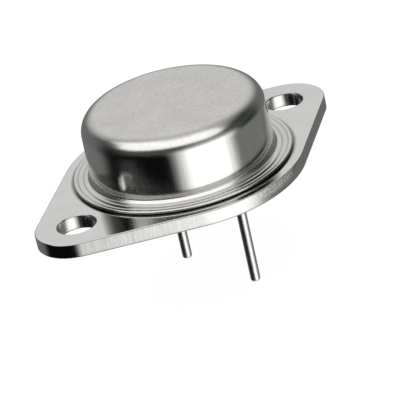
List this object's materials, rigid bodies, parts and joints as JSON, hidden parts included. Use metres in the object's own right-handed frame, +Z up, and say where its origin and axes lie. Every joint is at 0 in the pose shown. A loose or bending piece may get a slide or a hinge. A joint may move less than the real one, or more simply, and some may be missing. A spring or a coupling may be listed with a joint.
{
  "type": "power transistor",
  "caption": "Power transistor in a diamond-shaped, two-hole steel can package with a round welded cap and two glass-sealed leads underneath.",
  "frame": {"origin": "middle of the seating plane (the plate's underside), half way between the two mounting holes", "axes": "+X along the line of the mounting holes towards the hole nearer the lead row; +Z up out of the cap, away from the seating plane; the leads hang along -Z"},
  "size_m": [0.039, 0.026, 0.0212],
  "materials": {
    "plated_plate": "nickel-plated steel, satin, sheared edge",
    "plated_can": "nickel-plated drawn steel, satin top, smooth wall",
    "plated_lead": "nickel-plated, polished",
    "seal_glass": "dark fused glass, glossy",
    "copper": "copper, satin",
    "braze": "silver braze, satin",
    "solder": "soft solder, dull",
    "silicon": "polished silicon with metal pads",
    "bond_wire": "drawn aluminium wire, bright"
  },
  "bodies": {
    "root": {"base_plate": "plated_plate", "can": "plated_can", "base_lead": "plated_lead", "emitter_lead": "plated_lead", "base_lead_glass": "seal_glass", "emitter_lead_glass": "seal_glass", "heat_spreader": "copper", "spreader_braze": "braze", "die_solder": "solder", "transistor_die": "silicon", "base_bond_wire": "bond_wire", "emitter_bond_wire": "bond_wire"}
  },
  "joints": []
}
